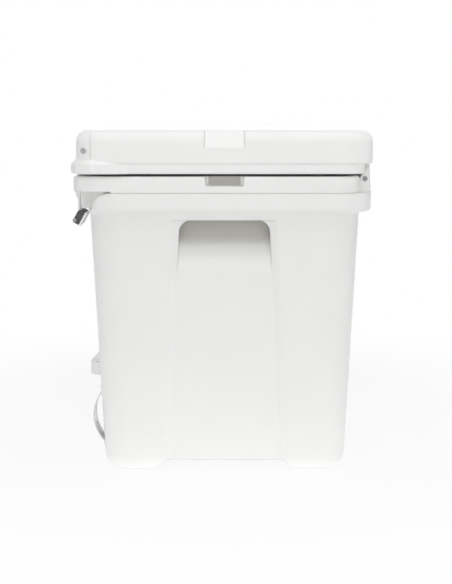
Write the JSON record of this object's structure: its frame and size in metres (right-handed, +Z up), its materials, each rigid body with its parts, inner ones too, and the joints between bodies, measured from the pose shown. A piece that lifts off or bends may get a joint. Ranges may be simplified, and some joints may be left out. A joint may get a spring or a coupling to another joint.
{
  "type": "cooler on wheels",
  "caption": "Rotomoulded hard cooler with hinged lid, strap latches, drain, bottle opener, wheels and a telescopic tow handle.",
  "frame": {"origin": "on the ground under the middle of the closed cooler, with the tow handle down", "axes": "+X along the length, away from the wheels and the tow handle; the latches face -Y; +Z up"},
  "size_m": [0.7519, 0.4224, 0.485],
  "materials": {
    "shell": "satin white moulded polyethylene",
    "lid_shell": "satin white moulded polyethylene",
    "gasket_rubber": "matt dark brown",
    "steel_rod": "drawn stainless",
    "strap_plastic": "satin white",
    "grip_black": "fine matt black",
    "latch_steel": "pressed stainless",
    "pin_chrome": "polished",
    "drain_plastic": "satin white",
    "seal_rubber": "matt black",
    "opener_steel": "brushed stainless",
    "axle_steel": "turned",
    "hub_plastic": "satin white",
    "tyre_rubber": "matt black rubber",
    "bush_plastic": "natural nylon",
    "bracket_plastic": "textured black",
    "tube_black": "black powder coat",
    "tube_alu": "satin anodised",
    "grip_soft": "soft matt black",
    "button_plastic": "matt red"
  },
  "bodies": {
    "body": {"tub": "shell", "hinge_rod": "steel_rod", "drain_elbow": "drain_plastic", "drain_washer": "seal_rubber", "drain_nut": "drain_plastic", "opener_plate": "opener_steel", "opener_bow": "opener_steel", "opener_screws": "steel_rod", "axle": "axle_steel", "axle_washers": "axle_steel", "axle_cap_front": "latch_steel", "axle_cap_rear": "latch_steel", "handle_bracket_top": "bracket_plastic", "handle_bracket_foot": "bracket_plastic", "bracket_screws": "steel_rod", "handle_tubes_fixed": "tube_black", "handle_collars": "bracket_plastic"},
    "lid": {"lid": "lid_shell", "gasket": "gasket_rubber", "latch_pin_right": "steel_rod", "latch_pin_left": "steel_rod"},
    "latch_right": {"latch_strap_right": "strap_plastic", "latch_grip_right": "grip_black", "latch_plate_right": "latch_steel", "grip_pin_right": "pin_chrome"},
    "latch_left": {"latch_strap_left": "strap_plastic", "latch_grip_left": "grip_black", "latch_plate_left": "latch_steel", "grip_pin_left": "pin_chrome"},
    "drain_cap": {"drain_cap": "drain_plastic", "cap_seal": "seal_rubber"},
    "wheel_front": {"wheel_front": "hub_plastic", "tyre_front": "tyre_rubber", "wheel_bush_front": "bush_plastic"},
    "wheel_rear": {"wheel_rear": "hub_plastic", "tyre_rear": "tyre_rubber", "wheel_bush_rear": "bush_plastic"},
    "handle_middle": {"handle_tubes_middle": "tube_alu", "middle_collars": "bracket_plastic"},
    "handle_top": {"handle_tubes_inner": "tube_alu", "handle_grip": "grip_soft", "button_spring": "steel_rod"},
    "button": {"release_button": "button_plastic"}
  },
  "joints": [
    {"name": "lid_hinge", "type": "hinge", "parent": "body", "child": "lid", "pos_m": [0.01325, 0.2027, 0.4175], "axis": [-1, 0, 0], "range_deg": [0, 105]},
    {"name": "latch_right_hinge", "type": "hinge", "parent": "lid", "child": "latch_right", "pos_m": [0.23825, -0.1823, 0.457], "axis": [-1, 0, 0], "range_deg": [0, 95]},
    {"name": "latch_left_hinge", "type": "hinge", "parent": "lid", "child": "latch_left", "pos_m": [-0.21175, -0.1823, 0.457], "axis": [-1, 0, 0], "range_deg": [0, 95]},
    {"name": "drain_cap_unscrews", "type": "slide", "parent": "body", "child": "drain_cap", "axis": [0, 0, -1], "range_m": [0, 0.03]},
    {"name": "wheel_front_spin", "type": "hinge", "parent": "body", "child": "wheel_front", "pos_m": [-0.25118, -0.1518, 0.07], "axis": [0, -1, 0], "continuous": true},
    {"name": "wheel_rear_spin", "type": "hinge", "parent": "body", "child": "wheel_rear", "pos_m": [-0.25118, 0.1682, 0.07], "axis": [0, -1, 0], "continuous": true},
    {"name": "handle_lower_slide", "type": "slide", "parent": "body", "child": "handle_middle", "axis": [0, 0, 1], "range_m": [0, 0.215]},
    {"name": "handle_upper_slide", "type": "slide", "parent": "handle_middle", "child": "handle_top", "axis": [0, 0, 1], "range_m": [0, 0.215]},
    {"name": "release_button_press", "type": "slide", "parent": "handle_top", "child": "button", "axis": [0, 0, -1], "range_m": [0, 0.0035], "stiffness_N_per_m": 250, "deforming": ["button_spring"]}
  ]
}
